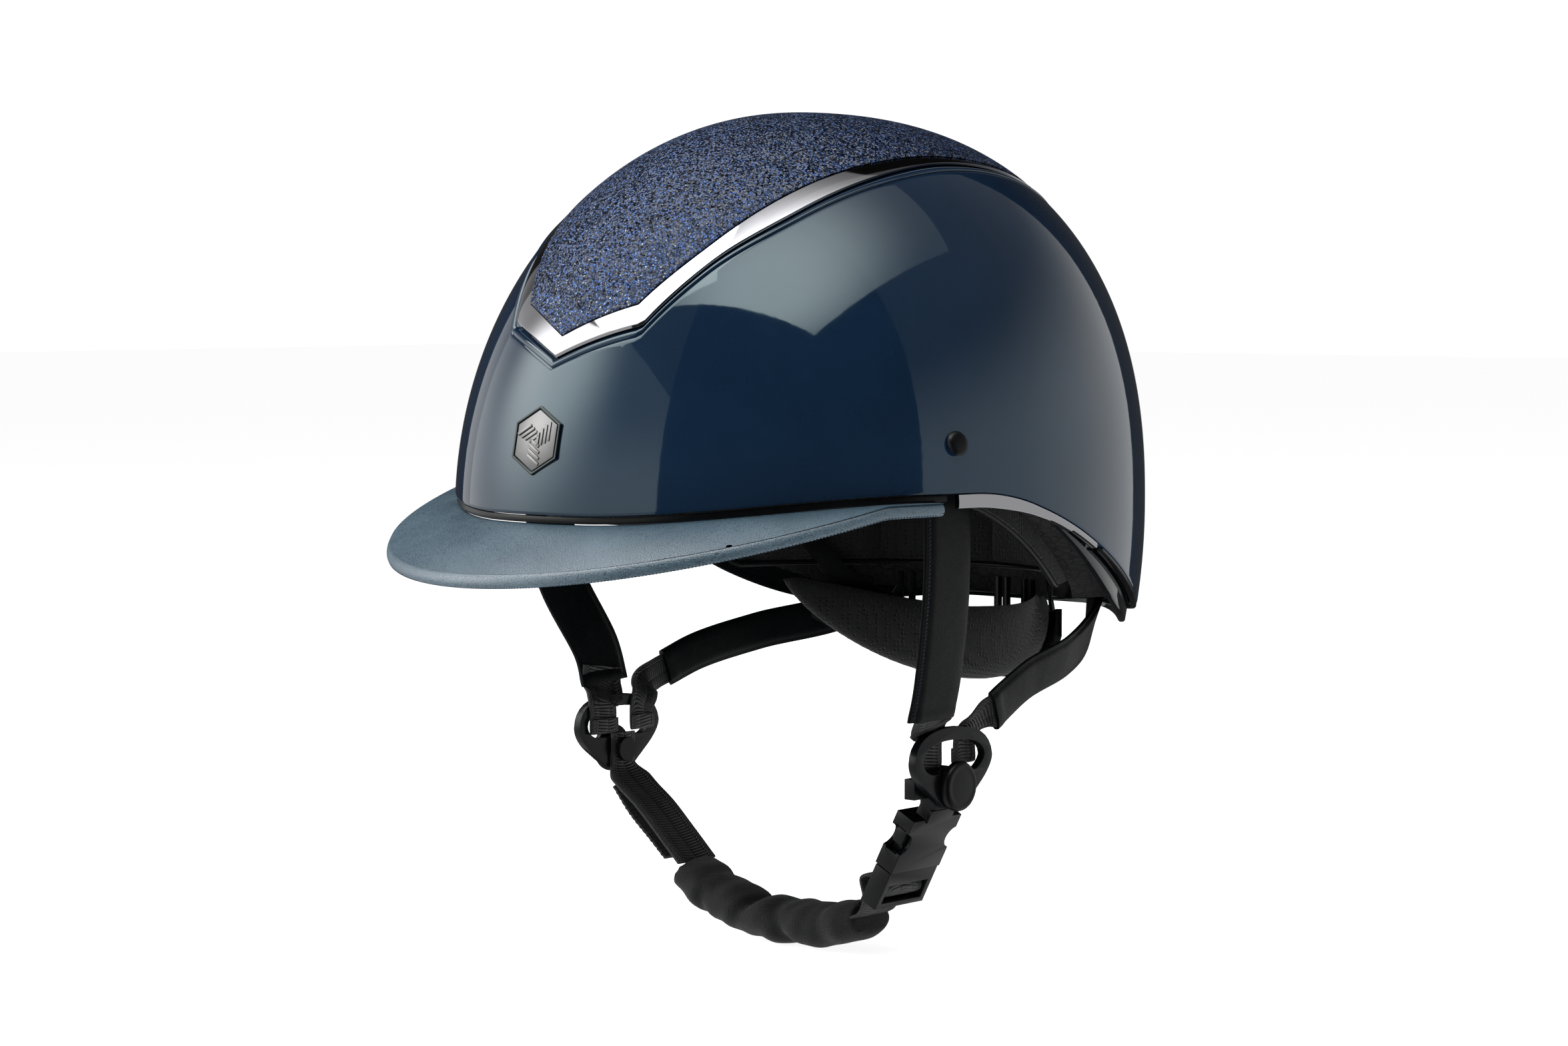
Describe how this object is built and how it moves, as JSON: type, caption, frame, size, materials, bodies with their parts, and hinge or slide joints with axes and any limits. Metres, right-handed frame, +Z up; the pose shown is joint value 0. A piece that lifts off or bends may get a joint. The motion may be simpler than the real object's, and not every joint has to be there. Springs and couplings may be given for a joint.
{
  "type": "equestrian riding helmet",
  "caption": "Peaked riding helmet with a glossy domed shell, framed glitter top panel, leather-look peak, padded liner, dial-fit nape cradle and buckled chin harness.",
  "frame": {"origin": "centre of the head opening, level with the widest part of the shell", "axes": "+X the wearer's left, -Y the front, +Z up"},
  "size_m": [0.212, 0.3163, 0.2896],
  "materials": {
    "navy_gloss": "high gloss lacquer",
    "glitter_panel": "sparkling glitter finish",
    "chrome_trim": "polished dark chrome",
    "badge_metal": "satin gunmetal",
    "black_gloss": "glossy black",
    "black_plastic": "fine satin moulding",
    "peak_leather": "fine grained navy leather look",
    "strap_leather": "smooth black leather look",
    "webbing": "ribbed black webbing",
    "mesh_fabric": "black spacer mesh",
    "pad_fabric": "soft black knitted fabric",
    "foam": "moulded bead foam",
    "steel": "plated steel"
  },
  "bodies": {
    "helmet": {"outer_shell": "navy_gloss", "top_panel": "glitter_panel", "top_frame": "chrome_trim", "badge_bezel": "black_gloss", "badge_plate": "badge_metal", "front_edging": "black_plastic", "rear_edging": "black_plastic", "lower_rim": "black_gloss", "foam_liner": "foam", "headband": "mesh_fabric", "crown_pad": "mesh_fabric", "peak_cover": "peak_leather", "peak_board": "black_plastic", "peak_lining": "peak_leather", "peak_binding": "peak_leather", "rivet_left": "black_plastic", "ear_trim_left": "chrome_trim", "front_strap_left": "strap_leather", "rear_strap_left": "strap_leather", "front_web_left": "webbing", "rear_web_left": "webbing", "divider_left": "black_plastic", "temple_pin_left": "black_plastic", "rivet_right": "black_plastic", "ear_trim_right": "chrome_trim", "front_strap_right": "strap_leather", "rear_strap_right": "strap_leather", "front_web_right": "webbing", "rear_web_right": "webbing", "divider_right": "black_plastic", "temple_pin_right": "black_plastic"},
    "cradle": {"nape_frame": "black_plastic", "nape_pad": "mesh_fabric", "dial_housing": "black_plastic", "dial_screw": "steel"},
    "dial": {"fit_dial": "black_plastic", "dial_pinion": "black_plastic"},
    "band_left": {"side_band_left": "black_plastic"},
    "band_right": {"side_band_right": "black_plastic"},
    "chin_yoke": {"buckle_female": "black_plastic", "pivot_button_left": "black_plastic", "pivot_button_right": "black_plastic", "chin_web_upper": "webbing"},
    "chin_strap": {"buckle_male": "black_plastic", "buckle_web": "webbing", "chin_web_lower": "webbing", "hook_tail": "webbing", "chin_pad": "pad_fabric"},
    "prong_front": {"prong_front": "black_plastic"},
    "prong_rear": {"prong_rear": "black_plastic"}
  },
  "joints": [
    {"name": "chin_swing", "type": "hinge", "parent": "helmet", "child": "chin_yoke", "pos_m": [0, -0.011, -0.09], "axis": [1, 0, 0], "range_deg": [-35, 45]},
    {"name": "buckle_release", "type": "slide", "parent": "chin_yoke", "child": "chin_strap", "axis": [-0.4633, 0, -0.8862], "range_m": [0, 0.016]},
    {"name": "prong_rear_squeeze", "type": "hinge", "parent": "chin_strap", "child": "prong_rear", "pos_m": [0.05708, -0.0018, -0.12045], "axis": [0.8862, 0, -0.4633], "range_deg": [0, 18]},
    {"name": "prong_front_squeeze", "type": "hinge", "parent": "chin_strap", "child": "prong_front", "pos_m": [0.05708, -0.0202, -0.12045], "axis": [-0.8862, 0, 0.4633], "range_deg": [0, 18]},
    {"name": "cradle_slide", "type": "slide", "parent": "helmet", "child": "cradle", "axis": [0, -1, 0], "range_m": [0, 0.0045]},
    {"name": "fit_dial_turn", "type": "hinge", "parent": "cradle", "child": "dial", "pos_m": [0, 0.111, -0.055], "axis": [0, -1, 0], "range_deg": [0, 108.5]},
    {"name": "band_left_draw", "type": "hinge", "parent": "helmet", "child": "band_left", "pos_m": [0.0755, -0.018, 0.0065], "axis": [0, 0, 1], "range_deg": [0, 3.5]},
    {"name": "band_right_draw", "type": "hinge", "parent": "helmet", "child": "band_right", "pos_m": [-0.0755, -0.018, 0.0065], "axis": [0, 0, -1], "range_deg": [0, 3.5]}
  ],
  "couplings": [
    {"joint": "prong_rear_squeeze", "follows": "buckle_release", "rad_per_m": 19.199},
    {"joint": "prong_front_squeeze", "follows": "buckle_release", "rad_per_m": 19.199},
    {"joint": "fit_dial_turn", "follows": "cradle_slide", "rad_per_m": 418},
    {"joint": "band_left_draw", "follows": "cradle_slide", "rad_per_m": 13.333},
    {"joint": "band_right_draw", "follows": "cradle_slide", "rad_per_m": 13.333}
  ]
}
